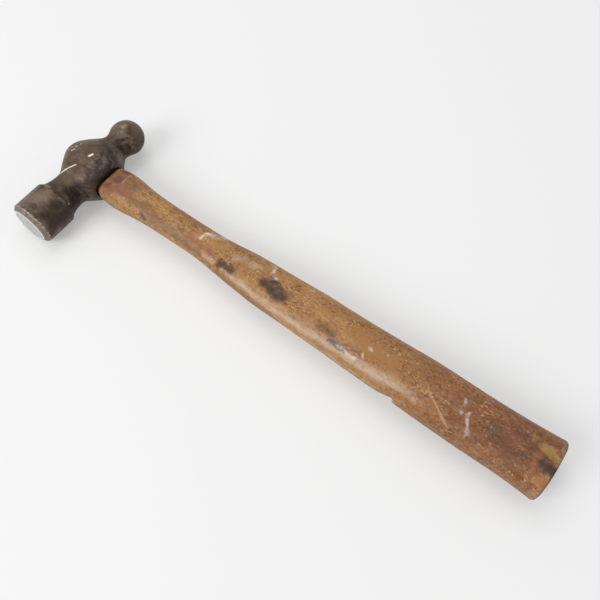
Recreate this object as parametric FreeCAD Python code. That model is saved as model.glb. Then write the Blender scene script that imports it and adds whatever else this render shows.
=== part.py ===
import FreeCAD, Part

import math
import os

# Ball peen hammer of the 12 oz pattern, as the pieces that it comes apart into.
#
# A drop-forged steel head is hung on an oval hickory handle, whose tenon fills the
# hourglass eye of the head. A hardwood wedge spreads the tenon along the eye, and two
# barbed steel wedges spread it across. Nothing on the hammer moves.
#
# Frame, in millimetres. The hammer lies on its side on the plane z = 0:
#   the origin is on the lower cheek flat, straight below the centre of the eye
#   +X runs along the handle, from the head towards the butt
#   +Y runs along the head, from the striking face towards the ball peen
#   +Z is up, square to both cheek flats

Vector = FreeCAD.Vector

# ---- Driving dimensions ---------------------------------------------------------------

OVERALL_LENGTH = 340.6  # crown of the head to the end of the butt
POLL_DIAMETER = 29.0  # also the width over the cheek flats
FACE_TO_EYE = 52.7  # striking face to the centre of the eye
EYE_TO_PEEN_TIP = 44.0
PEEN_DIAMETER = 22.9
BUTT_WIDTH = 36.4  # along Y
HANDLE_FLATNESS = 0.79  # thickness of the handle over its width

POLL_RADIUS = POLL_DIAMETER / 2
AXIS_HEIGHT = POLL_RADIUS  # the head's axis and the handle's lie this far above z = 0

# ---- Head: poll, waist, throat and peen -----------------------------------------------

FACE_Y = -FACE_TO_EYE
FACE_CHAMFER = 2.2
POLL_LENGTH = 23.4  # face to the inner edge of the poll
SHOULDER_CHAMFER = 1.6  # bevel on the inner edge of the poll
WAIST_Y = -18.6
WAIST_RADIUS = 11.1  # narrowest place between poll and eye
THROAT_Y = 22.3
THROAT_RADIUS = 9.2  # narrowest place between eye and peen
PEEN_RADIUS = PEEN_DIAMETER / 2
PEEN_Y = EYE_TO_PEEN_TIP - PEEN_RADIUS
PEEN_ROOT_RADIUS = 10.4  # where the throat's sweep runs into the ball

# ---- Head: the boss round the eye -----------------------------------------------------

CROWN_HEIGHT = 18.3  # eye centre to the top of the boss, along -X
CROWN_PEAK_Y = 2.1  # the top of the boss lies this far to the peen's side of the eye
BELLY_HEIGHT = 18.4  # eye centre to the boss's under side, along +X
CHEEK_SWELL = 15.6  # half width of the boss before its cheeks are ground flat
# Below 1, an outline holds its height further from the eye: (towards the poll, towards the peen).
CROWN_FULLNESS = (0.62, 0.5)
BELLY_FULLNESS = (0.34, 0.56)
CHEEK_FULLNESS = (0.7, 0.7)
# Superellipse exponents at the eye, where 2 is an ellipse.
CROWN_SQUARENESS = 3.1
BELLY_SQUARENESS = 5.0
BOSS_SECTIONS = 11
BOSS_ROOT_DEPTH = 0.5  # how far the boss's two ends sink into the waist and the throat

EYE_LENGTH = 21.6  # at the upper mouth, along Y
EYE_WIDTH = 15.6  # at the upper mouth, along Z
EYE_THROAT_LENGTH = 19.4
EYE_THROAT_WIDTH = 13.8
EYE_SQUARENESS = 2.3

# ---- Handle ---------------------------------------------------------------------------

BUTT_X = OVERALL_LENGTH - CROWN_HEIGHT
BUTT_ROUNDING = 2.4
GRIP_SQUARENESS = 2.25
# Distance from the eye's centre, and width there as a share of the butt's width.
HANDLE_STATIONS = (
    (10.0, 0.605),
    (17.0, 0.62),
    (25.0, 0.675),
    (34.0, 0.67),
    (47.0, 0.59),
    (62.0, 0.56),
    (82.0, 0.548),
    (120.0, 0.66),
    (170.0, 0.81),
    (230.0, 0.87),
    (290.0, 0.935),
    (BUTT_X, 1.0),
)

# ---- Wedges ---------------------------------------------------------------------------

WEDGE_OVERRUN = 10.0  # a wedge's slot runs this far past the crown before it is trimmed
WOOD_WEDGE_DEPTH = 24.0
WOOD_WEDGE_THICKNESS = 3.6
WOOD_WEDGE_TIP = 0.8
STEEL_WEDGE_WIDTH = 10.5
STEEL_WEDGE_DEPTH = 16.0
STEEL_WEDGE_THICKNESS = 2.3
STEEL_WEDGE_TIP = 0.5
STEEL_WEDGE_OFFSET = 5.2  # distance from the eye's centre, along Y
STEEL_WEDGE_SINK = 1.6  # top of the wedge below the top of the crown
BARBS = 4
BARB_STEP = 0.22

CURVE_POINTS = 24  # points on a superellipse before a curve is run through them


def axis_point(x, y):
    """A point at the height of the head's axis."""
    return Vector(x, y, AXIS_HEIGHT)


def blend(start, end, share):
    """The value that lies a share of the way from start to end."""
    return start + (end - start) * share


def oval(squareness, half_first, half_second):
    """Points round a superellipse, as pairs. Either half size may be a pair: (minus side, plus side)."""
    power = 2.0 / squareness
    for k in range(CURVE_POINTS):
        angle = 2.0 * math.pi * k / CURVE_POINTS
        first = math.copysign(abs(math.cos(angle)) ** power, math.cos(angle))
        second = math.copysign(abs(math.sin(angle)) ** power, math.sin(angle))
        yield first * half_first, second * half_second


def smooth_ring(points):
    """A closed wire run smoothly through the points."""
    curve = Part.BSplineCurve()
    curve.interpolate(Points=list(points), PeriodicFlag=True)
    return Part.Wire([curve.toShape()])


def loft(sections):
    """A solid run smoothly through closed sections."""
    return Part.makeLoft(sections, True, False)


def spindle():
    """Poll, waist, throat and ball, turned in one piece about the head's axis."""
    shoulder_y = FACE_Y + POLL_LENGTH
    shoulder_radius = POLL_RADIUS - SHOULDER_CHAMFER
    root_y = PEEN_Y - math.sqrt(PEEN_RADIUS**2 - PEEN_ROOT_RADIUS**2)

    face_centre = axis_point(0, FACE_Y)
    face_edge = axis_point(POLL_RADIUS - FACE_CHAMFER, FACE_Y)
    poll_front = axis_point(POLL_RADIUS, FACE_Y + FACE_CHAMFER)
    poll_back = axis_point(POLL_RADIUS, shoulder_y - SHOULDER_CHAMFER)
    shoulder = axis_point(shoulder_radius, shoulder_y)
    waist_sweep = axis_point(blend(WAIST_RADIUS, shoulder_radius, 0.22), blend(shoulder_y, WAIST_Y, 0.45))
    waist = axis_point(WAIST_RADIUS, WAIST_Y)
    throat = axis_point(THROAT_RADIUS, THROAT_Y)
    throat_sweep = axis_point(blend(THROAT_RADIUS, PEEN_ROOT_RADIUS, 0.3), blend(THROAT_Y, root_y, 0.55))
    peen_root = axis_point(PEEN_ROOT_RADIUS, root_y)
    peen_side = axis_point(PEEN_RADIUS, PEEN_Y)
    peen_tip = axis_point(0, PEEN_Y + PEEN_RADIUS)

    edges = [
        Part.makeLine(face_centre, face_edge),
        Part.makeLine(face_edge, poll_front),
        Part.makeLine(poll_front, poll_back),
        Part.makeLine(poll_back, shoulder),
        Part.Arc(shoulder, waist_sweep, waist).toShape(),
        Part.makeLine(waist, throat),
        Part.Arc(throat, throat_sweep, peen_root).toShape(),
        Part.Arc(peen_root, peen_side, peen_tip).toShape(),
        Part.makeLine(peen_tip, face_centre),
    ]
    half_profile = Part.Face(Part.Wire(edges))
    return half_profile.revolve(axis_point(0, 0), Vector(0, 1, 0), 360)


def rise(y, peak_y, fullness=(1.0, 1.0)):
    """How far the boss has risen at y: 0 at the waist and the throat, and 1 at its peak."""
    end_y, power = (WAIST_Y, fullness[0]) if y < peak_y else (THROAT_Y, fullness[1])
    return (0.5 + 0.5 * math.cos(math.pi * (y - peak_y) / (end_y - peak_y))) ** power


def boss_section(y):
    """The boss's outline at y: round at its two ends, and squarer and larger towards the eye."""
    share = (y - WAIST_Y) / (THROAT_Y - WAIST_Y)
    root_radius = blend(WAIST_RADIUS, THROAT_RADIUS, share) - BOSS_ROOT_DEPTH
    crown = blend(root_radius, CROWN_HEIGHT, rise(y, CROWN_PEAK_Y, CROWN_FULLNESS))
    belly = blend(root_radius, BELLY_HEIGHT, rise(y, 0.0, BELLY_FULLNESS))
    cheek = blend(root_radius, CHEEK_SWELL, rise(y, 0.0, CHEEK_FULLNESS))
    crown_ring = oval(blend(2.0, CROWN_SQUARENESS, rise(y, 0.0)), crown, cheek)
    belly_ring = oval(blend(2.0, BELLY_SQUARENESS, rise(y, 0.0)), belly, cheek)
    ring = [low if low[0] > 0 else high for low, high in zip(belly_ring, crown_ring)]
    return smooth_ring(Vector(x, y, AXIS_HEIGHT + z) for x, z in ring)


def boss():
    """The swelling round the eye, with its cheeks ground flat."""
    step = (THROAT_Y - WAIST_Y) / (BOSS_SECTIONS - 1)
    swelling = loft([boss_section(WAIST_Y + k * step) for k in range(BOSS_SECTIONS)])
    reach = 2 * CROWN_HEIGHT
    length = 2 * FACE_TO_EYE
    between_cheeks = Part.makeBox(2 * reach, length, POLL_DIAMETER, Vector(-reach, -length / 2, 0))
    return swelling.common(between_cheeks)


def eye_space():
    """The hourglass that the eye leaves in the head, run past both of its mouths."""
    sections = []
    for share in (-1.5, -0.8, 0.0, 0.8, 1.5):
        half_length = blend(EYE_THROAT_LENGTH, EYE_LENGTH, share**2) / 2
        half_width = blend(EYE_THROAT_WIDTH, EYE_WIDTH, share**2) / 2
        ring = oval(EYE_SQUARENESS, half_length, half_width)
        sections.append(smooth_ring(Vector(share * CROWN_HEIGHT, y, AXIS_HEIGHT + z) for y, z in ring))
    return loft(sections)


def handle_section(x, width):
    """The handle's oval at x."""
    ring = oval(GRIP_SQUARENESS, width / 2, width * HANDLE_FLATNESS / 2)
    return smooth_ring(Vector(x, y, AXIS_HEIGHT + z) for y, z in ring)


def grip():
    """The shaped part of the handle, from inside the lower mouth of the eye to the rounded butt."""
    blank = loft([handle_section(x, share * BUTT_WIDTH) for x, share in HANDLE_STATIONS])
    butt_edges = [edge for edge in blank.Edges if edge.BoundBox.XMin > BUTT_X - BUTT_ROUNDING]
    return blank.makeFillet(BUTT_ROUNDING, butt_edges)


def wedge_blank(profile, width, direction):
    """A prism on a closed profile, standing the width out to both sides along a direction."""
    face = Part.Face(Part.makePolygon(profile + profile[:1]))
    face.translate(direction * (-width / 2))
    return face.extrude(direction * width)


def wood_wedge_blank():
    """A plain taper that stands along the eye and runs past the crown."""
    top_x = -CROWN_HEIGHT - WEDGE_OVERRUN
    tip_x = -CROWN_HEIGHT + WOOD_WEDGE_DEPTH
    slope = (WOOD_WEDGE_THICKNESS - WOOD_WEDGE_TIP) / WOOD_WEDGE_DEPTH
    top_half = (WOOD_WEDGE_THICKNESS + slope * WEDGE_OVERRUN) / 2
    tip_half = WOOD_WEDGE_TIP / 2
    profile = [
        Vector(top_x, 0, AXIS_HEIGHT - top_half),
        Vector(tip_x, 0, AXIS_HEIGHT - tip_half),
        Vector(tip_x, 0, AXIS_HEIGHT + tip_half),
        Vector(top_x, 0, AXIS_HEIGHT + top_half),
    ]
    return wedge_blank(profile, 2 * EYE_LENGTH, Vector(0, 1, 0))


def steel_wedge_blank(y):
    """A barbed taper that stands across the eye at y and runs past the crown."""
    tip_x = -CROWN_HEIGHT + STEEL_WEDGE_DEPTH
    length = STEEL_WEDGE_DEPTH - STEEL_WEDGE_SINK
    flank = [(tip_x, STEEL_WEDGE_TIP / 2)]
    for barb in range(1, BARBS + 1):
        x = tip_x - length * barb / (BARBS + 1)
        half = blend(STEEL_WEDGE_TIP, STEEL_WEDGE_THICKNESS, barb / (BARBS + 1)) / 2
        flank.append((x, half + BARB_STEP / 2))
        flank.append((x, half - BARB_STEP / 2))
    flank.append((tip_x - length, STEEL_WEDGE_THICKNESS / 2))
    flank.append((-CROWN_HEIGHT - WEDGE_OVERRUN, STEEL_WEDGE_THICKNESS / 2))
    one_side = [axis_point(x, y - half) for x, half in flank]
    other_side = [axis_point(x, y + half) for x, half in reversed(flank)]
    return wedge_blank(one_side + other_side, STEEL_WEDGE_WIDTH, Vector(0, 0, 1))


def pieces():
    """Every piece of the hammer, by name."""
    eye = eye_space()
    swelling = boss()
    head = spindle().fuse(swelling).cut(eye)

    tenon = eye.common(swelling)
    whole_handle = grip().fuse(tenon).cut(head)
    wood_slot = wood_wedge_blank()
    steel_slots = [steel_wedge_blank(side * STEEL_WEDGE_OFFSET) for side in (-1, 1)]

    below_sink = 2 * EYE_LENGTH
    wedge_room = Part.makeBox(
        below_sink,
        2 * below_sink,
        2 * POLL_DIAMETER,
        Vector(-CROWN_HEIGHT + STEEL_WEDGE_SINK, -below_sink, -POLL_RADIUS),
    )
    made = {
        "head": head,
        "handle": whole_handle.cut([wood_slot] + steel_slots),
        "wooden_wedge": tenon.common(wood_slot).cut(steel_slots),
    }
    for number, slot in enumerate(steel_slots, start=1):
        made[f"steel_wedge_{number}"] = slot.common(wedge_room)
    return made


def main():
    """Builds the pieces and writes a STEP file for each."""
    os.makedirs("parts", exist_ok=True)
    for name, shape in pieces().items():
        volume = shape.Volume / 1000
        print(f"{name}: valid {shape.isValid()}, {len(shape.Solids)} solids, {volume:.2f} cm3, {shape.BoundBox}")
        shape.exportStep(f"parts/{name}.step")


main()
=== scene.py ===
"""The looks of an old ball peen hammer: a patinated forged head on a worn, varnished hickory handle.

Lengths named in millimetres are turned to metres where a mesh or a node takes them.
"""

import logging
import math
from dataclasses import dataclass
from enum import Enum

import bmesh
import bpy
from mathutils import Matrix, Vector, noise
from mathutils.bvhtree import BVHTree


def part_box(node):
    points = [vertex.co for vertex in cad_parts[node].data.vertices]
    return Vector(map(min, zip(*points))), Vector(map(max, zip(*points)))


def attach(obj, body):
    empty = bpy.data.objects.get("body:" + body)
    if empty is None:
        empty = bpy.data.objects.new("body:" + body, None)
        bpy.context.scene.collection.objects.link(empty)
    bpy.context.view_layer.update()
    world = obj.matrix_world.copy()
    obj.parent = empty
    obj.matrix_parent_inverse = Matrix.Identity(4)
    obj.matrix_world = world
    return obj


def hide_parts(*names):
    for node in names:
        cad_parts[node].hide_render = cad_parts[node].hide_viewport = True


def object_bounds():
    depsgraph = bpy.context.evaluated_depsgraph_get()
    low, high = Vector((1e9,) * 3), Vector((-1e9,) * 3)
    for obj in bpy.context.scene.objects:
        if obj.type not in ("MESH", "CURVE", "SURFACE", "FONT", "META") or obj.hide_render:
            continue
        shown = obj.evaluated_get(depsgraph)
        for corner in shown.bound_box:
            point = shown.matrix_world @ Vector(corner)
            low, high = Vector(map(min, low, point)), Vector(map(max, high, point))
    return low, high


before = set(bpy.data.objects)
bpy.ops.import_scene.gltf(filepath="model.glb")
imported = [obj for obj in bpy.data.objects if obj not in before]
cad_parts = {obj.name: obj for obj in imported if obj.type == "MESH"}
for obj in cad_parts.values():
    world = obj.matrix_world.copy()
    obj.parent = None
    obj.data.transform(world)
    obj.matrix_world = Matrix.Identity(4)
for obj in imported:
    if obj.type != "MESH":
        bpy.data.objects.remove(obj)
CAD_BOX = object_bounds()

MM = 0.001

Triple = tuple[float, float, float]
Socket = bpy.types.NodeSocket

log = logging.getLogger("hammer")


class Blend(Enum):
    """How two masks or colours are put together."""

    ADD = "ADD"
    MULTIPLY = "MULTIPLY"
    MAXIMUM = "MAXIMUM"
    SUBTRACT = "SUBTRACT"


@dataclass(frozen=True)
class Stroke:
    """A mark that follows a short straight run across a surface, in millimetres.

    Attributes:
        start: Where the mark begins.
        end: Where it ends.
        width: How far it spreads to each side.
    """

    start: Triple
    end: Triple
    width: float


@dataclass(frozen=True)
class Dent:
    """A smooth knock in a surface, in millimetres.

    Attributes:
        centre: The middle of the knock.
        reach: How far it spreads along X, Y and Z.
        push: How far, and which way, the surface has moved at its middle.
    """

    centre: Triple
    reach: Triple
    push: Triple


class Nodes:
    """The nodes of a tree, added in the order they are worked out in, which keeps the renderer's own stack small."""

    def __init__(self, tree: bpy.types.NodeTree) -> None:
        """Starts on a tree.

        Args:
            tree: The tree that the nodes go into.
        """
        self.tree = tree

    def node(self, kind: str, inputs: dict, **settings) -> bpy.types.Node:
        """Adds a node.

        Args:
            kind: The node's Blender type.
            inputs: A value or another node's socket for each named or numbered input.
            **settings: The node's own properties.

        Returns:
            The new node.
        """
        made = self.tree.nodes.new(kind)
        for key, value in settings.items():
            setattr(made, key, value)
        for key, value in inputs.items():
            if isinstance(value, bpy.types.NodeSocket):
                self.tree.links.new(value, made.inputs[key])
            else:
                made.inputs[key].default_value = value
        return made

    def maths(self, operation: str, *values) -> Socket:
        """Adds a Math node on the values and returns its result."""
        return self.node("ShaderNodeMath", dict(enumerate(values)), operation=operation).outputs[0]

    def vectors(self, operation: str, *values) -> bpy.types.NodeOutputs:
        """Adds a Vector Math node on the values and returns its outputs."""
        return self.node("ShaderNodeVectorMath", dict(enumerate(values)), operation=operation).outputs


class Graph(Nodes):
    """The nodes of one material."""

    def __init__(self, name: str) -> None:
        """Starts a material that holds a principled shader.

        Args:
            name: The material's name.
        """
        self.material = bpy.data.materials.new(name)
        self.material.use_nodes = True
        self.material.node_tree.nodes.clear()
        super().__init__(self.material.node_tree)
        self.shader = self.node("ShaderNodeBsdfPrincipled", {})
        self.node("ShaderNodeOutputMaterial", {"Surface": self.shader.outputs["BSDF"]})
        self.place = self.node("ShaderNodeTexCoord", {}).outputs["Object"]

    def join(self, how: Blend, *masks) -> Socket:
        """Joins any number of masks, two at a time, and returns the result."""
        total = masks[0]
        for mask in masks[1:]:
            total = self.maths(how.value, total, mask)
        return total

    def weighted(self, *pairs: tuple[Socket, float]) -> Socket:
        """Adds masks up, each times its weight, and returns the sum."""
        return self.join(Blend.ADD, *[self.maths("MULTIPLY", mask, weight) for mask, weight in pairs])

    def noise(self, size: float, detail: float = 4.0, stretch: Triple = (1.0, 1.0, 1.0), seed: float = 0.0) -> Socket:
        """Adds a noise of a given grain.

        Args:
            size: The size of its features, in millimetres.
            detail: How many finer layers it has.
            stretch: How many times longer the features are along X, Y and Z.
            seed: A shift that makes one noise unlike another.

        Returns:
            The noise's strength, from 0 to 1.
        """
        scale = tuple(1.0 / s for s in stretch)
        placed = self.node("ShaderNodeMapping", {"Vector": self.place, "Location": (seed, seed * 2, seed * 3), "Scale": scale})
        inputs = {"Vector": placed.outputs[0], "Scale": 1.0 / (size * MM), "Detail": detail, "Roughness": 0.6}
        return self.node("ShaderNodeTexNoise", inputs).outputs[0]

    def spread(self, value: Socket, low: float, high: float, bottom: float = 0.0, top: float = 1.0) -> Socket:
        """Eases a value between two levels.

        Args:
            value: The value to read.
            low: Where the result is bottom.
            high: Where the result is top. It may be less than low.
            bottom: The result's first level.
            top: The result's last level.

        Returns:
            The eased value.
        """
        inputs = {"Value": value, "From Min": low, "From Max": high, "To Min": bottom, "To Max": top}
        return self.node("ShaderNodeMapRange", inputs, interpolation_type="SMOOTHSTEP").outputs[0]

    def ramp(self, value: Socket, stops: list[tuple[float, Triple]]) -> Socket:
        """Turns a value into a colour through the stops, and returns the colour."""
        made = self.node("ShaderNodeValToRGB", {"Fac": value})
        elements = made.color_ramp.elements
        while len(elements) < len(stops):
            elements.new(0.5)
        for element, (position, colour) in zip(elements, stops):
            element.position = position
            element.color = (*colour, 1.0)
        return made.outputs["Color"]

    def tint(self, factor, below, above) -> Socket:
        """Lays one colour over another.

        Args:
            factor: How much of the upper colour shows, from 0 to 1.
            below: The lower colour, as a socket or three numbers.
            above: The upper colour, as a socket or three numbers.

        Returns:
            The mixed colour.
        """
        sides = [side if isinstance(side, bpy.types.NodeSocket) else (*side, 1.0) for side in (below, above)]
        return self.node("ShaderNodeMix", {0: factor, 6: sides[0], 7: sides[1]}, data_type="RGBA").outputs[2]

    def level(self, factor, below, above) -> Socket:
        """Lays one number over another by a factor, and returns the mixed number."""
        return self.node("ShaderNodeMix", {0: factor, 2: below, 3: above}, data_type="FLOAT").outputs[0]

    def attribute(self, name: str) -> Socket:
        """Reads one of the piece's own vertex attributes."""
        return self.node("ShaderNodeAttribute", {}, attribute_name=name).outputs["Fac"]

    def axis(self, index: int) -> Socket:
        """Reads the place along X, Y or Z, in metres."""
        return self.node("ShaderNodeSeparateXYZ", {0: self.place}).outputs[index]

    def frayed_place(self, size: float, amount: float, detail: float = 5.0) -> Socket:
        """Shakes the surface's coordinates, so that a mark laid on them has a ragged edge.

        Args:
            size: The size of the raggedness, in millimetres.
            amount: How far a point moves, in millimetres.
            detail: How many finer layers the raggedness has.

        Returns:
            The shaken coordinates.
        """
        rough = self.node("ShaderNodeTexNoise", {"Vector": self.place, "Scale": 1.0 / (size * MM), "Detail": detail})
        centred = self.vectors("SUBTRACT", rough.outputs["Color"], (0.5, 0.5, 0.5))[0]
        moved = self.vectors("MULTIPLY", centred, (2 * amount * MM,) * 3)[0]
        return self.vectors("ADD", self.place, moved)[0]

    def strokes(self, marks: tuple[Stroke, ...], place: Socket, softness: float = 0.5) -> Socket:
        """Masks the surface near any of the marks.

        Args:
            marks: The marks.
            place: The coordinates that they are laid on.
            softness: The share of a mark's width over which its edge fades.

        Returns:
            The mask: 1 on the marks and 0 away from them.
        """
        total = None
        for mark in marks:
            made = self.node("ShaderNodeGroup", {}, node_tree=stroke_group())
            self.tree.links.new(place, made.inputs["Place"])
            made.inputs["Start"].default_value = tuple(c * MM for c in mark.start)
            made.inputs["End"].default_value = tuple(c * MM + 1e-7 for c in mark.end)
            made.inputs["Inner"].default_value = mark.width * MM * (1.0 - softness)
            made.inputs["Outer"].default_value = mark.width * MM
            total = self.maths("MAXIMUM", total, made.outputs[0]) if total else made.outputs[0]
        return total

    def finish(self, colour: Socket, roughness, metallic, height: Socket, relief: float) -> bpy.types.Material:
        """Connects the shader.

        Args:
            colour: The base colour.
            roughness: The roughness, as a socket or a number.
            metallic: The metallic share, as a socket or a number.
            height: The height of the fine relief, from 0 to 1.
            relief: How deep that relief is, in millimetres.

        Returns:
            The finished material.
        """
        bump = self.node("ShaderNodeBump", {"Height": height, "Distance": relief * MM, "Strength": 1.0})
        self.tree.links.new(bump.outputs["Normal"], self.shader.inputs["Normal"])
        self.tree.links.new(colour, self.shader.inputs["Base Color"])
        for key, value in (("Roughness", roughness), ("Metallic", metallic)):
            if isinstance(value, bpy.types.NodeSocket):
                self.tree.links.new(value, self.shader.inputs[key])
            else:
                self.shader.inputs[key].default_value = value
        return self.material


def stroke_group() -> bpy.types.NodeTree:
    """Makes, once, the node group that masks the points within reach of a straight run.

    Returns:
        The group.
    """
    name = "stroke"
    if name in bpy.data.node_groups:
        return bpy.data.node_groups[name]
    group = bpy.data.node_groups.new(name, "ShaderNodeTree")
    for key in ("Place", "Start", "End"):
        group.interface.new_socket(key, in_out="INPUT", socket_type="NodeSocketVector")
    for key in ("Inner", "Outer"):
        group.interface.new_socket(key, in_out="INPUT", socket_type="NodeSocketFloat")
    group.interface.new_socket("Mask", in_out="OUTPUT", socket_type="NodeSocketFloat")
    n = Nodes(group)
    given = n.node("NodeGroupInput", {}).outputs
    away = n.vectors("SUBTRACT", given["Place"], given["Start"])[0]
    run = n.vectors("SUBTRACT", given["End"], given["Start"])[0]
    covered = n.vectors("DOT_PRODUCT", away, run)["Value"]
    whole = n.vectors("DOT_PRODUCT", run, run)["Value"]
    share = n.maths("MAXIMUM", n.maths("MINIMUM", n.maths("DIVIDE", covered, whole), 1.0), 0.0)
    nearest = n.node("ShaderNodeVectorMath", {0: run, "Scale": share}, operation="SCALE").outputs[0]
    distance = n.vectors("DISTANCE", away, nearest)["Value"]
    limits = {"Value": distance, "From Min": given["Inner"], "From Max": given["Outer"], "To Min": 1.0, "To Max": 0.0}
    mask = n.node("ShaderNodeMapRange", limits, interpolation_type="SMOOTHSTEP").outputs[0]
    n.node("NodeGroupOutput", {"Mask": mask})
    return group


@dataclass(frozen=True)
class OldForging:
    """Brown-black patina on forged steel, worn bare on the striking face, with shade and glints painted on in places.
    """

    pitch: Triple = (0.021, 0.0145, 0.011)
    umber: Triple = (0.085, 0.056, 0.037)
    ash: Triple = (0.205, 0.151, 0.111)
    rubbed: Triple = (0.30, 0.25, 0.205)
    rust: Triple = (0.16, 0.062, 0.036)
    bare_bright: Triple = (0.57, 0.57, 0.54)
    bare_dull: Triple = (0.40, 0.39, 0.355)
    cream_paint: Triple = (0.70, 0.60, 0.44)
    face_y: float = -52.7
    bare_centre: Triple = (-1.6, -52.7, 13.1)
    bare_radius: float = 11.7

    cream_marks: tuple[Stroke, ...] = (
        Stroke((-7.6, -17.3, 22.8), (-3.6, -12.6, 26.7), 0.66),
        Stroke((-3.6, -12.6, 26.7), (-0.2, -8.5, 28.4), 0.62),
        Stroke((2.2, 1.0, 29.0), (3.0, 3.0, 29.0), 1.10),
    )
    bright_nicks: tuple[Stroke, ...] = (
        Stroke((-9.8, -2.0, 28.6), (-9.2, -0.6, 28.8), 0.6),
        Stroke((-9.8, 1.2, 28.6), (-9.4, 2.2, 28.8), 0.5),
        Stroke((-9.2, 4.8, 28.6), (-9.0, 5.6, 28.6), 0.6),
        Stroke((12.0, -29.4, 19.4), (11.0, -28.6, 21.5), 0.5),
    )
    polished_patches: tuple[Stroke, ...] = (
        Stroke((-5.0, -29.8, 26.4), (-1.5, -30.4, 28.0), 2.6),
        Stroke((-7.6, -31.0, 26.6), (-6.6, -44.0, 27.4), 2.0),
        Stroke((0.2, 32.0, 25.9), (0.8, 34.0, 25.8), 2.2),
    )
    ashen_patches: tuple[Stroke, ...] = (
        Stroke((-12.5, -6.0, 26.5), (-9.0, 6.0, 28.0), 6.0),
        Stroke((-7.0, -47.0, 27.4), (0.0, -36.0, 29.0), 7.0),
        Stroke((8.0, -50.0, 25.0), (12.5, -50.0, 20.0), 4.0),
        Stroke((-5.0, 31.0, 24.0), (0.0, 33.0, 26.0), 4.5),
        Stroke((4.0, 40.0, 24.0), (8.0, 36.0, 23.0), 4.5),
    )
    umber_patches: tuple[Stroke, ...] = (
        Stroke((-2.0, -22.0, 26.0), (4.0, -15.0, 26.5), 6.0),
        Stroke((5.0, -12.0, 28.0), (-6.0, -5.0, 29.0), 6.5),
        Stroke((-3.0, 4.0, 29.0), (1.0, 8.0, 29.0), 6.0),
        Stroke((10.0, 34.6, 19.6), (4.1, 37.7, 23.9), 5.4),
    )
    red_patches: tuple[Stroke, ...] = (
        Stroke((11.4, -13.8, 22.4), (12.2, -12.6, 22.4), 1.5),
        Stroke((-6.0, -44.0, 27.4), (-5.0, -40.0, 27.8), 1.2),
    )
    blue_patches: tuple[Stroke, ...] = (Stroke((8.0, -19.0, 22.2), (8.4, -15.0, 23.4), 3.2),)
    # Black patina, and painted shade in the hollows of the neck and on the boss's wall that faces the handle.
    black_patina_and_shade_patches: tuple[Stroke, ...] = (
        Stroke((5.4, -25.4, 24.8), (11.4, -25.8, 17.4), 4.6),
        Stroke((7.8, -21.6, 22.4), (11.6, -22.6, 14.0), 4.6),
        Stroke((11.6, -26.0, 12.0), (9.0, -24.0, 6.0), 4.6),
        Stroke((8.8, 20.5, 17.0), (6.4, 21.0, 21.4), 3.6),
        Stroke((11.0, 28.0, 12.0), (10.6, 33.0, 10.0), 3.6),
        Stroke((3.5, 22.0, 23.0), (6.0, 28.0, 22.5), 2.6),
        Stroke((9.0, 24.6, 15.0), (8.6, 25.4, 18.6), 3.6),
        Stroke((17.2, 5.0, 23.6), (16.6, -7.0, 23.6), 3.8),
        Stroke((12.6, -17.0, 14.0), (11.0, -15.6, 18.0), 2.8),
    )
    # Plum patina; on the boss's side that faces the handle this dark plum is partly painted shade.
    plum_patina_and_shade_patches: tuple[Stroke, ...] = (
        Stroke((14.0, 9.0, 25.0), (15.0, -8.5, 25.6), 7.2),
        Stroke((11.6, 1.0, 29.0), (13.4, -7.0, 28.0), 4.6),
        Stroke((10.4, -8.0, 27.4), (11.0, -13.4, 24.0), 4.2),
        Stroke((8.0, 9.0, 29.0), (9.4, 1.0, 29.0), 3.6),
        Stroke((4.0, 15.0, 27.4), (9.0, 12.0, 26.4), 2.8),
        Stroke((13.4, -33.0, 19.0), (13.8, -46.0, 17.0), 7.5),
        Stroke((10.0, -34.0, 24.5), (10.5, -38.0, 24.0), 4.5),
    )
    # Painted glints: thin light lines along edges of the neck and the boss.
    painted_glint_rims: tuple[Stroke, ...] = (
        Stroke((8.3, -18.6, 21.9), (10.5, -18.1, 18.2), 0.8),
        Stroke((12.4, 8.0, 27.9), (15.0, 7.6, 25.4), 1.0),
        Stroke((15.0, 7.6, 25.4), (16.6, 4.4, 25.4), 1.0),
    )

    def patches(self, g: Graph) -> list[tuple[Socket, Triple]]:
        """Masks the places where the patina has its own colour, and where shade and glints are painted on.

        Args:
            g: The material's nodes.

        Returns:
            Each mask and its colour, from the lowest to the uppermost.
        """
        soft = g.frayed_place(4.5, 3.0)
        small = g.frayed_place(1.6, 1.0)
        chosen = (
            (self.ashen_patches, soft, 0.78, self.ash),
            (self.umber_patches, soft, 0.70, (0.118, 0.080, 0.052)),
            (self.plum_patina_and_shade_patches, soft, 0.94, (0.040, 0.027, 0.023)),
            (self.blue_patches, small, 0.75, (0.030, 0.027, 0.032)),
            (self.black_patina_and_shade_patches, soft, 0.92, (0.021, 0.013, 0.010)),
            (self.painted_glint_rims, small, 0.60, (0.175, 0.150, 0.138)),
            (self.red_patches, small, 0.60, self.rust),
        )
        return [(g.maths("MULTIPLY", g.strokes(marks, place, 0.9), share), colour) for marks, place, share, colour in chosen]

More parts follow.
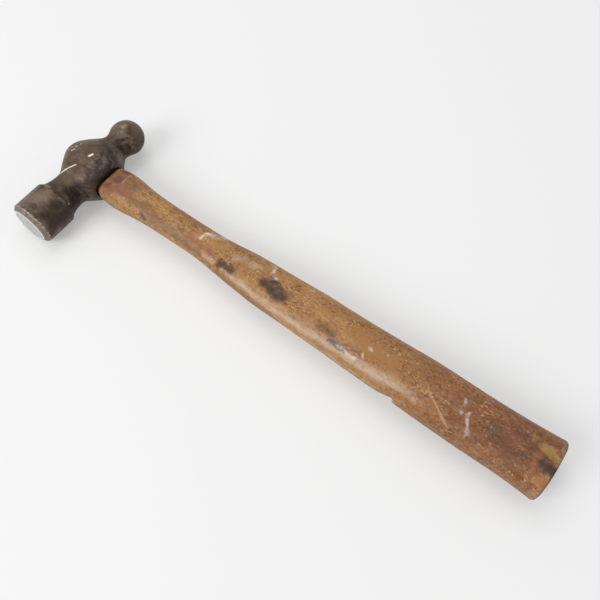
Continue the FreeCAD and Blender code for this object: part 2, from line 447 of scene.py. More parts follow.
    def material(self) -> bpy.types.Material:
        """Builds the material.

        Returns:
            The finished material.
        """
        g = Graph("old_forging")
        blotch = g.noise(12.0, 4.0)
        fleck = g.noise(2.0, 4.0, seed=3.1)
        grain = g.noise(0.35, 3.0, seed=5.7)
        scratches = g.noise(0.6, 3.0, stretch=(1.0, 9.0, 1.0), seed=8.3)
        tone = g.weighted((blotch, 0.68), (fleck, 0.17), (scratches, 0.15))
        colour = g.ramp(tone, [(0.35, self.pitch), (0.49, self.umber), (0.70, self.ash)])
        patchy = g.join(Blend.MULTIPLY, g.spread(fleck, 0.42, 0.62), g.spread(blotch, 0.40, 0.56))
        worn = g.maths("MULTIPLY", g.attribute("wear"), patchy)
        colour = g.tint(g.maths("MULTIPLY", worn, 0.65), colour, self.rubbed)
        for mask, patch_colour in self.patches(g):
            colour = g.tint(mask, colour, patch_colour)
        # Darkens the hollows with patina, and paints shade along the joint with the handle.
        colour = g.tint(g.maths("MULTIPLY", g.attribute("grime_and_shade"), 0.8), colour, self.pitch)
        specks = g.join(Blend.MULTIPLY, g.spread(g.noise(0.8, 2.0, seed=21.0), 0.60, 0.68), g.spread(blotch, 0.46, 0.60))
        polished = g.maths("MULTIPLY", g.strokes(self.polished_patches, g.frayed_place(1.4, 0.9), 0.9), 0.8)
        colour = g.tint(g.maths("MULTIPLY", g.maths("MAXIMUM", specks, polished), 0.65), colour, self.rubbed)
        worn = g.maths("MAXIMUM", worn, polished)
        rust_spots = g.join(Blend.MULTIPLY, g.spread(g.noise(3.6, 4.0, seed=11.9), 0.56, 0.68), g.spread(grain, 0.35, 0.6))
        colour = g.tint(g.maths("MULTIPLY", rust_spots, 0.5), colour, self.rust)

        ragged = g.maths("MULTIPLY", g.maths("SUBTRACT", g.noise(2.6, 5.0, seed=14.2), 0.5), 2.4 * MM)
        depth = g.maths("ADD", g.axis(1), ragged)
        chamfer = g.spread(depth, (self.face_y + 2.6) * MM, (self.face_y + 1.9) * MM)
        colour = g.tint(g.maths("MULTIPLY", chamfer, 0.7), colour, (0.235, 0.185, 0.142))
        centre = tuple(c * MM for c in self.bare_centre)
        off_centre = g.vectors("DISTANCE", g.place, centre)["Value"]
        radius = g.weighted((off_centre, 1.0), (ragged, 0.7))
        outer_rim = g.maths("ABSOLUTE", g.maths("SUBTRACT", depth, (self.face_y + 2.2) * MM))
        rim_line = g.join(Blend.MULTIPLY, g.spread(outer_rim, 0.55 * MM, 0.20 * MM), g.spread(fleck, 0.46, 0.56))
        colour = g.tint(g.maths("MULTIPLY", rim_line, 0.7), colour, (0.46, 0.41, 0.35))
        bare = g.spread(radius, (self.bare_radius + 0.25) * MM, (self.bare_radius - 0.15) * MM)
        bare = g.join(Blend.MULTIPLY, bare, g.spread(depth, (self.face_y + 1.3) * MM, (self.face_y + 1.0) * MM))
        stain = g.spread(g.noise(2.8, 5.0, seed=17.0), 0.42, 0.68)
        # Brighter towards the rim of the bare face: partly polished metal, partly a painted highlight on the
        # mushroomed lip.
        lip_polish_and_highlight = g.spread(radius, (self.bare_radius - 2.0) * MM, (self.bare_radius - 0.7) * MM)
        face_colour = g.tint(stain, self.bare_bright, self.bare_dull)
        face_colour = g.tint(g.maths("MULTIPLY", lip_polish_and_highlight, 0.8), face_colour, (0.82, 0.82, 0.78))
        colour = g.tint(bare, colour, face_colour)

        nicks = g.strokes(self.bright_nicks, g.frayed_place(0.7, 0.5), 0.5)
        colour = g.tint(nicks, colour, (0.46, 0.42, 0.38))
        paint = g.strokes(self.cream_marks, g.frayed_place(0.5, 0.12), 0.5)
        colour = g.tint(paint, colour, self.cream_paint)

        bright = g.maths("MAXIMUM", bare, g.maths("MULTIPLY", worn, 0.6))
        metallic = g.maths("MULTIPLY", g.level(bright, 0.45, 1.0), g.maths("SUBTRACT", 1.0, paint))
        dull = g.spread(fleck, 0.3, 0.7, 0.40, 0.58)
        roughness = g.level(bare, g.level(g.maths("MULTIPLY", worn, 0.6), dull, 0.36), g.spread(scratches, 0.3, 0.7, 0.30, 0.46))
        roughness = g.level(g.maths("MAXIMUM", paint, g.maths("MULTIPLY", rust_spots, 0.8)), roughness, 0.8)
        height = g.weighted((fleck, 0.40), (grain, 0.25), (scratches, 0.25), (paint, 0.5))
        g.shader.inputs["Specular IOR Level"].default_value = 0.30
        return g.finish(colour, roughness, metallic, height, 0.06)


@dataclass(frozen=True)
class WornHickory:
    """Old varnish over hickory: golden by the head, and russet and speckled towards the butt, with a pale worn ridge
    that is partly a painted highlight.
    """

    golden_dark: Triple = (0.205, 0.080, 0.016)
    golden: Triple = (0.322, 0.145, 0.031)
    golden_pale: Triple = (0.425, 0.225, 0.066)
    russet_dark: Triple = (0.088, 0.023, 0.005)
    russet: Triple = (0.198, 0.063, 0.013)
    russet_pale: Triple = (0.310, 0.122, 0.036)
    pore: Triple = (0.098, 0.036, 0.015)
    fleck: Triple = (0.56, 0.37, 0.16)
    stain: Triple = (0.050, 0.023, 0.015)
    plum: Triple = (0.120, 0.042, 0.036)
    bruise: Triple = (0.070, 0.058, 0.072)
    rubbed: Triple = (0.50, 0.365, 0.255)
    white_paint: Triple = (0.66, 0.60, 0.58)
    yellow_paint: Triple = (0.38, 0.25, 0.065)
    tan_scratch: Triple = (0.46, 0.28, 0.13)
    red: Triple = (0.25, 0.080, 0.038)
    umber: Triple = (0.17, 0.078, 0.033)
    amber: Triple = (0.32, 0.135, 0.035)
    end_grain: Triple = (0.050, 0.022, 0.012)

    russet_start: float = 190.0
    russet_end: float = 290.0
    butt_x: float = 322.3
    tenon_x: float = -10.0

    def grain(self, g: Graph) -> tuple[Socket, Socket, Socket]:
        """Lays the wood's figure down, with its pores and flecks.

        Args:
            g: The material's nodes.

        Returns:
            The colour, the pores and the fine streaks.
        """
        streak = g.noise(1.1, 5.0, stretch=(12.0, 1.0, 1.0))
        broad = g.noise(13.0, 4.0, stretch=(2.4, 1.0, 1.0), seed=4.9)
        mottle = g.noise(1.9, 5.0, stretch=(1.5, 1.0, 1.0), seed=7.4)
        speckle = g.noise(0.75, 4.0, stretch=(1.5, 1.0, 1.0), seed=36.0)
        tone = g.weighted((streak, 0.18), (broad, 0.28), (mottle, 0.24), (speckle, 0.30))
        golden = g.ramp(tone, [(0.39, self.golden_dark), (0.50, self.golden), (0.61, self.golden_pale)])
        blotched = g.weighted((streak, 0.12), (broad, 0.30), (mottle, 0.28), (speckle, 0.30))
        russet = g.ramp(blotched, [(0.40, self.russet_dark), (0.50, self.russet), (0.60, self.russet_pale)])
        along = g.weighted((g.axis(0), 1.0), (broad, 90 * MM), (mottle, 40 * MM))
        towards_butt = g.spread(along, (self.russet_start + 65) * MM, (self.russet_end + 65) * MM)
        colour = g.tint(towards_butt, golden, russet)

        clusters = g.spread(g.noise(9.0, 3.0, stretch=(2.0, 1.0, 1.0), seed=9.1), 0.40, 0.56)
        dashes = g.spread(g.noise(1.15, 2.0, stretch=(2.3, 1.0, 1.0), seed=12.5), 0.54, 0.62)
        specks = g.spread(g.noise(0.95, 3.0, stretch=(1.3, 1.0, 1.0), seed=23.5), 0.56, 0.64)
        fine_dashes = g.join(Blend.MULTIPLY, dashes, clusters)
        by_head = g.spread(g.axis(0), 110 * MM, 30 * MM, 0.0, 0.9)
        butt_specks = g.join(Blend.MULTIPLY, specks, g.maths("MAXIMUM", by_head, g.maths("MULTIPLY", towards_butt, 0.85)))
        pores = g.join(Blend.MAXIMUM, fine_dashes, butt_specks)
        colour = g.tint(g.maths("MULTIPLY", pores, 0.82), colour, self.pore)
        light_clusters = g.spread(g.noise(8.0, 3.0, stretch=(2.2, 1.0, 1.0), seed=31.0), 0.46, 0.60)
        flecks = g.join(Blend.MULTIPLY, g.spread(g.noise(1.1, 3.0, stretch=(1.6, 1.0, 1.0), seed=27.0), 0.57, 0.66), light_clusters)
        return g.tint(g.maths("MULTIPLY", flecks, 0.7), colour, self.fleck), pores, streak

    def material(self) -> bpy.types.Material:
        """Builds the material.

        Returns:
            The finished material.
        """
        g = Graph("worn_hickory")
        colour, pores, streak = self.grain(g)
        patch = g.noise(3.0, 5.0, seed=41.0)
        soft = g.frayed_place(6.0, 4.0)
        ragged = g.frayed_place(6.5, 3.4, 2.5)
        small = g.frayed_place(1.2, 0.8)

        tapered = g.join(Blend.MULTIPLY, g.spread(g.axis(0), 76 * MM, 112 * MM), g.spread(g.axis(0), 262 * MM, 224 * MM))
        bands = g.join(Blend.MULTIPLY, g.spread(streak, 0.34, 0.56, 0.60, 1.0), g.spread(patch, 0.32, 0.50, 0.62, 1.0))
        ridge_wear_and_highlight = g.join(Blend.MULTIPLY, g.strokes(RIDGE_WEAR_AND_HIGHLIGHT, g.frayed_place(4.0, 1.8), 0.95), tapered, bands)
        rub = g.join(Blend.MULTIPLY, g.attribute("wear"), g.spread(patch, 0.42, 0.58))
        smears = g.join(Blend.MULTIPLY, g.strokes(SMEARS, soft, 0.95), g.spread(patch, 0.36, 0.56, 0.2, 0.6))
        bald_and_highlight = g.join(Blend.MAXIMUM, ridge_wear_and_highlight, smears, g.maths("MULTIPLY", rub, 0.4))
        # Lightens worn places; along the ridge this is partly a painted highlight.
        colour = g.tint(g.maths("MULTIPLY", bald_and_highlight, 0.88), colour, self.rubbed)
        for marks, paint, place, strength in (
            (UMBER_STAINS, self.umber, soft, 0.70),
            (RED_STAINS, self.red, soft, 0.60),
            (AMBER_MARKS, self.amber, ragged, 0.80),
            (PLUM_STAINS, self.plum, ragged, 0.86),
            (BRUISES, self.bruise, ragged, 0.85),
            (YELLOW_MARKS, self.yellow_paint, ragged, 0.58),
            (PALE_SCRATCHES, self.tan_scratch, small, 0.65),
        ):
            mask = g.maths("MULTIPLY", g.strokes(marks, place, 0.8), strength)
            colour = g.tint(mask, colour, paint)
        uneven = g.spread(g.noise(2.4, 5.0, seed=44.0), 0.36, 0.54, 0.80, 1.0)
        dark = g.join(Blend.MULTIPLY, g.strokes(DARK_STAINS, ragged, 0.75), uneven)
        colour = g.tint(g.maths("MULTIPLY", dark, 0.94), colour, self.stain)
        faint_dark = g.join(Blend.MULTIPLY, g.strokes(FAINT_STAINS, soft, 0.9), uneven)
        colour = g.tint(g.maths("MULTIPLY", faint_dark, 0.50), colour, self.stain)
        butt_end = g.spread(g.axis(0), (self.butt_x - 0.9) * MM, (self.butt_x - 0.4) * MM)
        cut_end = g.maths("MAXIMUM", butt_end, g.spread(g.axis(0), self.tenon_x * MM, (self.tenon_x - 1.0) * MM, 0.0, 0.7))
        growth = g.spread(g.noise(1.3, 3.0, stretch=(4.0, 9.0, 1.0), seed=52.0), 0.44, 0.56, 0.15, 0.75)
        colour = g.tint(g.maths("MULTIPLY", cut_end, growth), colour, self.end_grain)
        # Darkens the hollows with dirt and the rim of the butt end, and paints shade along the joint with the head.
        end_rim = g.spread(g.axis(0), (self.butt_x - 1.8) * MM, (self.butt_x - 0.6) * MM)
        grime_and_shade = g.maths("MAXIMUM", g.attribute("grime_and_shade"), g.maths("MULTIPLY", end_rim, 0.6))
        colour = g.tint(g.maths("MULTIPLY", grime_and_shade, 0.85), colour, (0.030, 0.018, 0.013))

        broken = g.spread(g.noise(1.6, 5.0, seed=15.3), 0.36, 0.56, 0.35, 1.0)
        white = g.maths("MULTIPLY", g.join(Blend.MULTIPLY, g.strokes(WHITE_MARKS, small, 0.9), broken), 0.85)
        faint = g.maths("MULTIPLY", g.join(Blend.MULTIPLY, g.strokes(FAINT_MARKS, ragged, 0.95), broken), 0.60)
        paint = g.maths("MAXIMUM", white, faint)
        colour = g.tint(paint, colour, self.white_paint)

        roughness = g.spread(g.weighted((patch, 0.5), (streak, 0.5)), 0.35, 0.65, 0.38, 0.54)
        roughness = g.level(g.join(Blend.MAXIMUM, dark, paint, g.maths("MULTIPLY", bald_and_highlight, 0.5)), roughness, 0.66)
        height = g.weighted((pores, -0.55), (streak, 0.35), (paint, 0.35), (patch, 0.30))
        g.shader.inputs["Specular IOR Level"].default_value = 0.40
        return g.finish(colour, roughness, 0.0, height, 0.12)


@dataclass(frozen=True)
class DryEndGrain:
    """The sawn end of a wedge: dull wood, darkened by oil and handling."""

    name: str = "dry_end_grain"
    pale: Triple = (0.30, 0.19, 0.105)
    dark: Triple = (0.085, 0.050, 0.030)

    def material(self) -> bpy.types.Material:
        """Builds the material.

        Returns:
            The finished material.
        """
        g = Graph(self.name)
        speckle = g.noise(0.30, 3.0)
        growth = g.noise(0.9, 4.0, stretch=(6.0, 5.0, 1.0), seed=3.3)
        tone = g.weighted((speckle, 0.5), (growth, 0.5))
        colour = g.ramp(tone, [(0.36, self.dark), (0.60, self.pale)])
        return g.finish(colour, g.spread(speckle, 0.3, 0.7, 0.62, 0.82), 0.0, tone, 0.15)


@dataclass(frozen=True)
class DullSteel:
    """Mild steel of the small wedges: grey, brushed by the file, with rust in its hollows."""

    steel: Triple = (0.24, 0.22, 0.20)
    dark: Triple = (0.07, 0.055, 0.047)
    rust: Triple = (0.19, 0.075, 0.035)

    def material(self) -> bpy.types.Material:
        """Builds the material.

        Returns:
            The finished material.
        """
        g = Graph("dull_steel")
        file_lines = g.noise(0.25, 3.0, stretch=(1.0, 1.0, 12.0))
        blotch = g.noise(1.6, 4.0, seed=4.4)
        colour = g.ramp(g.weighted((file_lines, 0.5), (blotch, 0.5)), [(0.36, self.dark), (0.62, self.steel)])
        rusty = g.spread(g.noise(1.1, 4.0, seed=6.1), 0.50, 0.62)
        colour = g.tint(g.maths("MULTIPLY", rusty, 0.8), colour, self.rust)
        roughness = g.level(rusty, 0.45, 0.8)
        return g.finish(colour, roughness, g.level(rusty, 0.85, 0.2), file_lines, 0.05)


# Marks on the handle, in millimetres.
# The pale band along the handle's lower edge: partly varnish worn off, partly a painted highlight.
RIDGE_WEAR_AND_HIGHLIGHT = (
    Stroke((62.0, -4.0, 21.8), (97.0, -7.3, 20.6), 2.2),
    Stroke((97.0, -7.3, 20.6), (120.0, -10.0, 20.6), 2.6),
    Stroke((120.0, -10.0, 20.6), (146.0, -12.7, 20.9), 3.6),
    Stroke((146.0, -12.7, 20.9), (174.0, -13.4, 20.4), 4.4),
    Stroke((174.0, -13.4, 20.4), (200.0, -12.4, 21.8), 4.8),
    Stroke((200.0, -12.4, 21.8), (228.0, -12.2, 23.0), 4.6),
    Stroke((228.0, -12.2, 23.0), (250.0, -11.4, 24.6), 3.4),
)
PLUM_STAINS = (
    Stroke((25.0, -0.5, 24.0), (27.0, 0.5, 24.0), 4.6),
    Stroke((23.5, -5.5, 22.8), (25.5, -7.0, 22.2), 3.6),
    Stroke((24.0, 8.6, 21.8), (26.0, 9.4, 21.0), 3.2),
)
BRUISES = (
    Stroke((50.6, -9.2, 19.0), (53.6, -9.4, 18.0), 2.6),
    Stroke((192.0, -10.4, 23.4), (200.0, -11.0, 23.2), 2.8),
    Stroke((143.5, -0.2, 26.0), (146.5, -1.0, 26.0), 2.6),
)
YELLOW_MARKS = (
    Stroke((18.4, -10.4, 19.0), (20.0, -9.6, 20.4), 2.4),
    Stroke((155.0, -14.7, 16.4), (161.0, -15.0, 16.4), 1.4),
    Stroke((311.0, 4.4, 28.0), (320.0, 2.6, 28.0), 3.2),
    Stroke((304.0, 5.6, 28.0), (312.0, 4.4, 28.0), 1.8),
)
RED_STAINS = (
    Stroke((88.0, -4.6, 21.4), (104.0, -5.6, 21.6), 3.4),
    Stroke((66.0, 6.0, 21.0), (88.0, 7.0, 20.6), 2.6),
    Stroke((20.0, -8.0, 20.5), (34.0, -3.0, 23.5), 6.5),
    Stroke((22.0, 8.0, 22.0), (28.0, 9.0, 21.0), 4.0),
    Stroke((300.0, -10.0, 26.5), (296.0, -2.0, 28.0), 7.0),
)
AMBER_MARKS = (
    Stroke((317.5, -12.6, 25.2), (320.5, -11.5, 25.0), 4.6),
    Stroke((200.0, 1.0, 26.4), (226.0, -3.0, 27.0), 7.0),
)
PALE_SCRATCHES = (
    Stroke((29.4, 0.2, 24.0), (28.2, 8.0, 22.2), 1.1),
    Stroke((249.4, -4.8, 27.2), (258.0, -9.4, 25.8), 0.95),
    Stroke((258.0, -9.4, 25.8), (266.7, -14.1, 22.9), 0.95),
)
DARK_STAINS = (
    Stroke((112.5, -8.4, 21.2), (120.0, -7.6, 22.2), 4.2),
    Stroke((142.0, -4.6, 25.4), (147.0, -4.0, 25.8), 4.6),
    Stroke((147.0, -5.6, 25.4), (155.0, -6.0, 25.4), 5.6),
    Stroke((147.0, -0.6, 26.0), (152.0, -2.4, 26.0), 3.6),
    Stroke((315.0, -3.4, 28.2), (321.0, -4.4, 27.6), 5.2),
)
FAINT_STAINS = (
    Stroke((71.0, 1.0, 22.4), (76.0, 1.4, 22.4), 1.3),
    Stroke((65.0, 3.0, 22.2), (69.0, 3.2, 22.2), 1.2),
    Stroke((78.0, -2.6, 22.2), (84.0, -3.2, 22.0), 1.8),
    Stroke((182.0, -6.2, 25.0), (192.0, -6.8, 25.2), 4.0),
    Stroke((288.0, -4.0, 28.0), (304.0, -9.0, 27.0), 9.0),
    Stroke((296.0, 4.0, 28.0), (306.0, 0.0, 28.0), 6.0),
)
SMEARS = (
    Stroke((118.0, 0.0, 23.2), (134.0, 3.0, 25.0), 4.6),
    Stroke((176.0, -14.6, 15.0), (224.0, -15.6, 15.0), 3.0),
    Stroke((228.0, -9.0, 25.6), (246.0, -12.0, 24.4), 5.0),
)
UMBER_STAINS = (
    Stroke((18.0, 0.0, 24.0), (36.0, 2.0, 23.6), 8.0),
    Stroke((30.0, -5.0, 23.4), (52.0, -5.4, 22.0), 5.6),
    Stroke((56.0, -6.0, 20.0), (96.0, -7.6, 18.6), 4.5),
    Stroke((112.0, -11.0, 16.0), (156.0, -14.0, 14.0), 4.0),
)
WHITE_MARKS = (
    Stroke((92.4, -1.6, 22.4), (93.0, 2.8, 22.3), 1.5),
    Stroke((93.0, 2.8, 22.3), (95.5, 4.4, 21.8), 1.9),
    Stroke((166.4, 8.0, 24.8), (167.4, 8.4, 24.8), 1.1),
)
FAINT_MARKS = (
    Stroke((95.5, 4.4, 21.8), (104.0, 8.8, 20.0), 3.2),
    Stroke((144.6, 0.6, 26.0), (146.4, 1.6, 26.0), 2.4),
    Stroke((142.0, 3.6, 25.8), (139.6, 9.0, 24.0), 2.4),
    Stroke((211.0, -7.6, 25.2), (212.0, -7.4, 25.2), 1.4),
    Stroke((212.0, -2.4, 26.2), (212.8, -2.2, 26.2), 1.2),
    Stroke((222.2, 0.0, 26.7), (223.0, 0.4, 26.7), 1.2),
    Stroke((268.0, 1.8, 27.8), (269.0, -4.0, 27.6), 1.9),
    Stroke((272.4, -3.8, 27.6), (277.6, -13.2, 23.8), 2.1),
    Stroke((224.0, -15.0, 12.0), (232.0, -14.0, 12.0), 2.8),
    Stroke((196.0, -10.6, 23.4), (208.0, -11.4, 23.0), 1.5),
)


@dataclass
class Carved:
    """A piece that starts as an even skin over a CAD node, and is then knocked about.

    Attributes:
        node: The CAD node that the piece stands for.
        slot: The record's material slot. It is not used.
        name: The piece's name.
        voxel: The size of a face of the even skin, in millimetres.
        smoothing: How many times the skin is smoothed.
        ripple: The depth of the surface's slow unevenness, in millimetres.
        ripple_size: The width of that unevenness along X, Y and Z, in millimetres.
        dents: The knocks.
    """

    node: str
    slot: str
    name: str
    voxel: float
    smoothing: int
    ripple: float
    ripple_size: Triple
    dents: tuple[Dent, ...]

    def skin(self) -> bmesh.types.BMesh:
        """Copies the CAD node's mesh, closes it and covers it with even faces.

        Returns:
            The skin.
        """
        source = bmesh.new()
        source.from_mesh(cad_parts[self.node].data)
        bmesh.ops.remove_doubles(source, verts=source.verts, dist=0.0005 * MM)
        mesh = bpy.data.meshes.new(self.name)
        source.to_mesh(mesh)
        source.free()
        blank = bpy.data.objects.new(self.name + "_blank", mesh)
        bpy.context.scene.collection.objects.link(blank)
        remesh = blank.modifiers.new("even", "REMESH")
        remesh.mode = "VOXEL"
        remesh.voxel_size = self.voxel * MM
        evaluated = blank.evaluated_get(bpy.context.evaluated_depsgraph_get())
        even = bmesh.new()
        even.from_mesh(evaluated.to_mesh())
        evaluated.to_mesh_clear()
        bpy.data.objects.remove(blank)
        bpy.data.meshes.remove(mesh)
        for _ in range(self.smoothing):
            self.soften(even, 0.5)
        return even

    @staticmethod
    def soften(skin: bmesh.types.BMesh, factor: float) -> None:
        """Smooths the whole skin once by the factor."""
        bmesh.ops.smooth_vert(skin, verts=skin.verts, factor=factor, use_axis_x=True, use_axis_y=True, use_axis_z=True)

    def roughen(self, skin: bmesh.types.BMesh) -> None:
        """Sinks the skin unevenly, as hand work and age leave it."""
        skin.normal_update()
        for vertex in skin.verts:
            point = vertex.co / MM
            wide = noise.noise(Vector(c / s for c, s in zip(point, self.ripple_size)))
            vertex.co -= vertex.normal * (self.ripple * (0.5 + 0.5 * wide) * MM)

    def knock(self, skin: bmesh.types.BMesh) -> None:
        """Pushes the skin in at every dent."""
        for dent in self.dents:
            centre = Vector(dent.centre)
            push = Vector(dent.push) * MM
            for vertex in skin.verts:
                away = vertex.co / MM - centre
                ratio = sum((a / r) ** 2 for a, r in zip(away, dent.reach))
                if ratio < 1.0:
                    vertex.co += push * (1.0 - ratio) ** 2

    def mark_relief(self, skin: bmesh.types.BMesh, depth: float, passes: int) -> None:
        """Stores how far each point stands out from, or sinks below, a smoothed copy of the skin.

        Args:
            skin: The skin.
            depth: The height that counts as full wear or full grime, in millimetres.
            passes: How many times the copy is smoothed.
        """
        wear = skin.verts.layers.float.new("wear")
        grime_and_shade = skin.verts.layers.float.new("grime_and_shade")
        smooth = skin.copy()
        for _ in range(passes):
            self.soften(smooth, 1.0)
        skin.normal_update()
        smooth.verts.ensure_lookup_table()
        for index, vertex in enumerate(skin.verts):
            height = (vertex.co - smooth.verts[index].co).dot(vertex.normal) / (depth * MM)
            vertex[wear] = min(max(height, 0.0), 1.0)
            vertex[grime_and_shade] = min(max(-height, 0.0), 1.0)
        smooth.free()

    def darken_joint(self, skin: bmesh.types.BMesh, neighbour: str, reach: float, sink: float) -> None:
        """Opens a narrow seam where the piece meets another, with dirt and painted shade along it.

        Args:
            skin: The skin, which already holds its dirt in hollows.
            neighbour: The other piece's CAD node.
            reach: How far from the other piece the dirt and painted shade go, in millimetres.
            sink: How far the skin draws back at the joint, in millimetres.
        """
        other = bmesh.new()
        other.from_mesh(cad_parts[neighbour].data)
        tree = BVHTree.FromBMesh(other)
        other.free()
        grime_and_shade = skin.verts.layers.float["grime_and_shade"]
        for vertex in skin.verts:
            distance = tree.find_nearest(vertex.co)[3] / MM
            if distance < reach:
                closeness = (1.0 - distance / reach) ** 1.5
                vertex[grime_and_shade] = max(vertex[grime_and_shade], closeness)
                vertex.co -= vertex.normal * (sink * closeness * MM)

    def keep_inside(self, skin: bmesh.types.BMesh) -> None:
        """Holds the skin within the CAD node's box."""
        low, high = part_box(self.node)
        for vertex in skin.verts:
            vertex.co = Vector(min(max(c, a), b) for c, a, b in zip(vertex.co, low, high))

    def place(self, skin: bmesh.types.BMesh, material: bpy.types.Material) -> bpy.types.Object:
        """Turns the skin into the finished piece, in place of its CAD node.

        Args:
            skin: The skin, which is used up.
            material: The piece's finish.

        Returns:
            The piece.
        """
        mesh = bpy.data.meshes.new(self.name)
        skin.to_mesh(mesh)
        skin.free()
        mesh.materials.append(material)
        mesh.polygons.foreach_set("use_smooth", [True] * len(mesh.polygons))
        piece = bpy.data.objects.new(self.name, mesh)
        bpy.context.scene.collection.objects.link(piece)
        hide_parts(self.node)
        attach(piece, "root")
        log.info("%s: %d faces", self.name, len(mesh.polygons))
        return piece


@dataclass
class HammerHead(Carved):
    """The forged head, with a chipped rim round its striking face."""

    node: str = "head"
    slot: str = "head_steel"
    name: str = "forged_head"
    voxel: float = 0.42
    smoothing: int = 4
    ripple: float = 0.22
    ripple_size: Triple = (5.0, 5.0, 5.0)
    dents: tuple[Dent, ...] = (
        Dent((-9.6, -1.4, 29.0), (1.6, 2.2, 2.0), (0.1, 0.0, -0.30)),
        Dent((-9.2, 4.8, 28.6), (1.4, 2.0, 2.0), (0.1, 0.0, -0.25)),
        Dent((12.6, -29.3, 19.0), (2.0, 1.6, 3.0), (-0.35, -0.25, 0.0)),
        Dent((-13.0, -40.0, 20.0), (2.4, 5.0, 3.0), (0.25, 0.0, -0.10)),
        Dent((4.0, -46.0, 29.0), (3.0, 2.0, 2.0), (0.0, 0.0, -0.22)),
        Dent((9.0, -38.0, 26.0), (3.0, 4.0, 3.0), (-0.12, 0.0, -0.18)),
    )
    face_y: float = -52.7
    rim_radius: float = 12.3
    chip_depth: float = 0.9
    boss_passes: int = 14
    cheek_passes: int = 20

    def chip(self, skin: bmesh.types.BMesh) -> None:
        """Breaks the rim of the striking face back in places."""
        axis_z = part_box(self.node)[1].z / 2 / MM
        for vertex in skin.verts:
            x, y, z = vertex.co / MM
            radius = math.hypot(x, z - axis_z)
            near_rim = max(0.0, 1.0 - abs(radius - self.rim_radius) / 1.6)
            near_face = max(0.0, 1.0 - (y - self.face_y) / 2.4)
            if near_rim * near_face == 0.0:
                continue
            broken = noise.fractal(Vector((x, y, z)) / 2.6, 1.0, 2.0, 3)
            bite = min(max(broken * 2.2, 0.0), 1.0) * near_rim * near_face * self.chip_depth
            vertex.co += Vector((-x / radius * 0.4, 1.0, -(z - axis_z) / radius * 0.4)) * bite * MM

    def ease(self, skin: bmesh.types.BMesh) -> None:
        """Rounds over the creases round the boss and the edges of the cheek flats, as grinding and handling leave them."""
        axis_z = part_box(self.node)[1].z / 2
        boss = [v for v in skin.verts if -27 * MM < v.co.y < 22 * MM and v.co.x > -11 * MM]
        cheeks = [v for v in boss if abs(v.co.z - axis_z) > 11.5 * MM]
        for verts, passes in ((boss, self.boss_passes), (cheeks, self.cheek_passes)):
            for _ in range(passes):
                bmesh.ops.smooth_vert(skin, verts=verts, factor=1.0, use_axis_x=True, use_axis_y=True, use_axis_z=True)

    def build(self) -> None:
        """Makes the head."""
        skin = self.skin()
        self.ease(skin)
        self.roughen(skin)
        self.knock(skin)
        self.chip(skin)
        self.soften(skin, 0.3)
        self.mark_relief(skin, 0.12, 14)
        # Painted shade and dirt on the head where it meets the handle, over a shallow seam.
        self.darken_joint(skin, "handle", 3.6, 0.25)
        self.keep_inside(skin)
        self.place(skin, OldForging().material())


@dataclass
class Handle(Carved):
    """The hickory handle, with a notch in its edge and the knocks of long use."""

    node: str = "handle"
    slot: str = "handle_wood"
    name: str = "hickory_handle"
    voxel: float = 0.68
    smoothing: int = 4
    ripple: float = 0.35
    ripple_size: Triple = (26.0, 7.0, 7.0)
    dents: tuple[Dent, ...] = (
        Dent((148.0, -4.6, 25.6), (6.0, 3.4, 3.0), (0.0, 0.0, -0.45)),
        Dent((116.0, -8.0, 21.8), (4.6, 2.4, 3.0), (0.0, 0.2, -0.35)),
        Dent((188.0, -6.6, 25.2), (5.0, 2.0, 3.0), (0.0, 0.0, -0.30)),
        Dent((319.0, -4.0, 28.2), (3.4, 4.0, 3.0), (-0.3, 0.0, -0.50)),
        Dent((322.0, 6.0, 14.0), (2.0, 4.0, 5.0), (-0.4, 0.0, 0.0)),
        Dent((268.0, 2.0, 28.0), (2.0, 2.0, 2.0), (0.0, 0.0, -0.20)),
        Dent((52.0, -9.6, 18.6), (3.0, 2.0, 3.0), (0.0, 0.3, -0.15)),
        Dent((147.0, 14.5, 16.0), (30.0, 10.0, 24.0), (0.0, -1.5, 0.0)),
        Dent((276.0, 17.5, 16.0), (36.0, 10.0, 24.0), (0.0, -1.0, 0.0)),
        Dent((112.0, -11.0, 14.0), (24.0, 10.0, 24.0), (0.0, -0.8, 0.0)),
        Dent((152.0, -14.0, 14.0), (20.0, 10.0, 24.0), (0.0, 0.5, 0.0)),
        Dent((205.0, -16.5, 14.0), (46.0, 10.0, 24.0), (0.0, -0.7, 0.0)),
    )
    splinter_x: float = 235.6
    splinter_run: float = 12.0
    splinter_depth: float = 2.3
    splinter_side: Triple = (0.0, -0.921, -0.39)

    def split_off(self, skin: bmesh.types.BMesh) -> None:
        """Takes the long splinter out of the handle's edge, with a steep wall at its butt end."""
        side = Vector(self.splinter_side).normalized()
        axis_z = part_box(self.node)[1].z / 2
        away = {v: (v.co - Vector((0, 0, axis_z))).dot(side) / MM for v in skin.verts}
        near = [d for v, d in away.items() if abs(v.co.x / MM - self.splinter_x) < 2.0]
        surface = max(near)
        for vertex, distance in away.items():
            run = (self.splinter_x - vertex.co.x / MM) / self.splinter_run
            if not -0.08 < run < 1.0:
                continue
            bite = self.splinter_depth * ((1.0 - run) if run > 0.0 else (1.0 + run / 0.08))
            over = distance - (surface - bite)
            if over > 0.0:
                vertex.co -= side * (over * MM)

    def build(self) -> None:
        """Makes the handle."""
        skin = self.skin()
        self.roughen(skin)
        self.knock(skin)
        self.split_off(skin)
        self.soften(skin, 0.3)
        self.mark_relief(skin, 0.16, 12)
        # Painted shade and dirt on the handle where it meets the head, over a shallow seam.
        self.darken_joint(skin, "head", 2.8, 0.7)
        self.keep_inside(skin)
        self.place(skin, WornHickory().material())


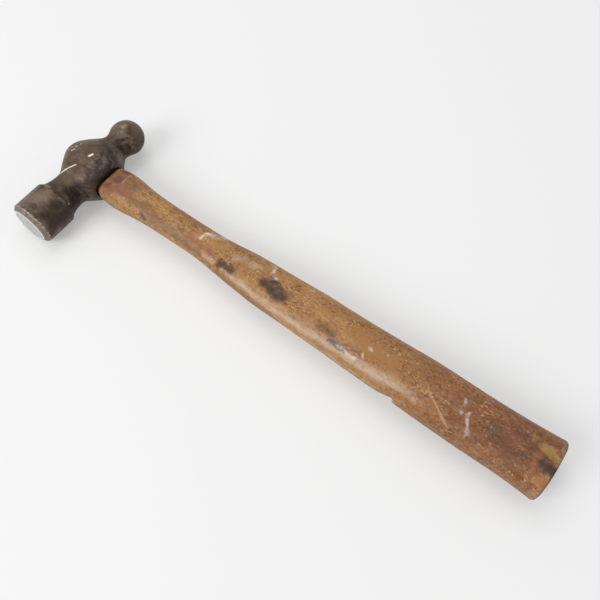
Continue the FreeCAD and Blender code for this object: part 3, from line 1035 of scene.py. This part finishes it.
@dataclass
class Wedges:
    """The wedges in the end of the tenon. They keep their CAD shapes."""

    wooden: tuple[str, ...] = ("wooden_wedge",)
    steel: tuple[str, ...] = ("steel_wedge_1", "steel_wedge_2")

    def build(self) -> None:
        """Dresses the wedges."""
        for names, finish in ((self.wooden, DryEndGrain()), (self.steel, DullSteel())):
            material = finish.material()
            for name in names:
                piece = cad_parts[name]
                piece.data.materials.clear()
                piece.data.materials.append(material)
                log.info("%s: dressed", name)


@dataclass
class Studio:
    """Pale floor, soft light and camera."""

    floor_size: float = 6.0
    floor_colour: Triple = (0.55, 0.55, 0.55)
    floor_glow: float = 0.28
    sky_colour: Triple = (0.97, 0.97, 0.97)
    sky_strength: float = 0.62
    camera_place: Triple = (269.6, -144.7, 364.7)
    camera_heading: float = -36.15
    camera_drop: float = 62.33
    camera_roll: float = 0.27
    lens: float = 41.52

    def floor(self) -> None:
        """Lays the floor under the hammer."""
        ground = bmesh.new()
        bmesh.ops.create_grid(ground, x_segments=1, y_segments=1, size=self.floor_size / 2)
        mesh = bpy.data.meshes.new("floor")
        ground.to_mesh(mesh)
        ground.free()
        g = Graph("pale_floor")
        g.shader.inputs["Base Color"].default_value = (*self.floor_colour, 1.0)
        g.shader.inputs["Roughness"].default_value = 0.9
        g.shader.inputs["Emission Color"].default_value = (1.0, 1.0, 1.0, 1.0)
        g.shader.inputs["Emission Strength"].default_value = self.floor_glow
        mesh.materials.append(g.material)
        ground_piece = bpy.data.objects.new("floor", mesh)
        bpy.context.scene.collection.objects.link(ground_piece)

    def softbox(self, name: str, place: Triple, size: float, power: float) -> None:
        """Hangs a square soft light that looks at the middle of the hammer.

        Args:
            name: The light's name.
            place: Where it hangs, in metres.
            size: The length of its side, in metres.
            power: Its power, in watts.
        """
        light = bpy.data.lights.new(name, "AREA")
        light.size = size
        light.energy = power
        lamp = bpy.data.objects.new(name, light)
        lamp.location = place
        target = (CAD_BOX[0] + CAD_BOX[1]) / 2
        lamp.rotation_euler = (target - lamp.location).to_track_quat("-Z", "Y").to_euler()
        bpy.context.scene.collection.objects.link(lamp)

    def sky(self) -> None:
        """Lights the scene evenly from all round."""
        world = bpy.data.worlds.new("soft_sky")
        world.use_nodes = True
        background = world.node_tree.nodes["Background"]
        background.inputs["Color"].default_value = (*self.sky_colour, 1.0)
        background.inputs["Strength"].default_value = self.sky_strength
        bpy.context.scene.world = world

    def camera(self) -> None:
        """Sets the camera up over the butt end, looking down at the hammer."""
        heading = math.radians(self.camera_heading)
        drop = math.radians(self.camera_drop)
        roll = math.radians(self.camera_roll)
        flat = math.cos(drop)
        forward = Vector((math.sin(heading) * flat, math.cos(heading) * flat, -math.sin(drop)))
        right = forward.cross(Vector((0, 0, 1))).normalized()
        up = right.cross(forward)
        turned_right = right * math.cos(roll) + up * math.sin(roll)
        turned_up = up * math.cos(roll) - right * math.sin(roll)
        axes = Matrix((turned_right, turned_up, -forward)).transposed()
        data = bpy.data.cameras.new("camera")
        data.lens = self.lens
        data.sensor_width = 36.0
        data.clip_start = 0.01
        viewer = bpy.data.objects.new("camera", data)
        viewer.matrix_world = Matrix.Translation(Vector(self.camera_place) * MM) @ axes.to_4x4()
        bpy.context.scene.collection.objects.link(viewer)
        bpy.context.scene.camera = viewer

    def build(self) -> None:
        """Sets the whole studio up."""
        self.floor()
        self.sky()
        self.softbox("key", (-0.35, -1.25, 1.00), 0.9, 15.0)
        self.softbox("top", (-0.30, 0.50, 1.60), 1.2, 8.0)
        self.camera()
        bpy.context.scene.view_settings.view_transform = "Standard"


def main() -> None:
    """Builds the hammer and its studio, and notes each part as it is done."""
    logging.basicConfig(level=logging.INFO, format="%(name)s: %(message)s")
    for part in (HammerHead(), Handle(), Wedges(), Studio()):
        part.build()
        log.info("%s done", type(part).__name__)


if __name__ == "__main__":
    main()
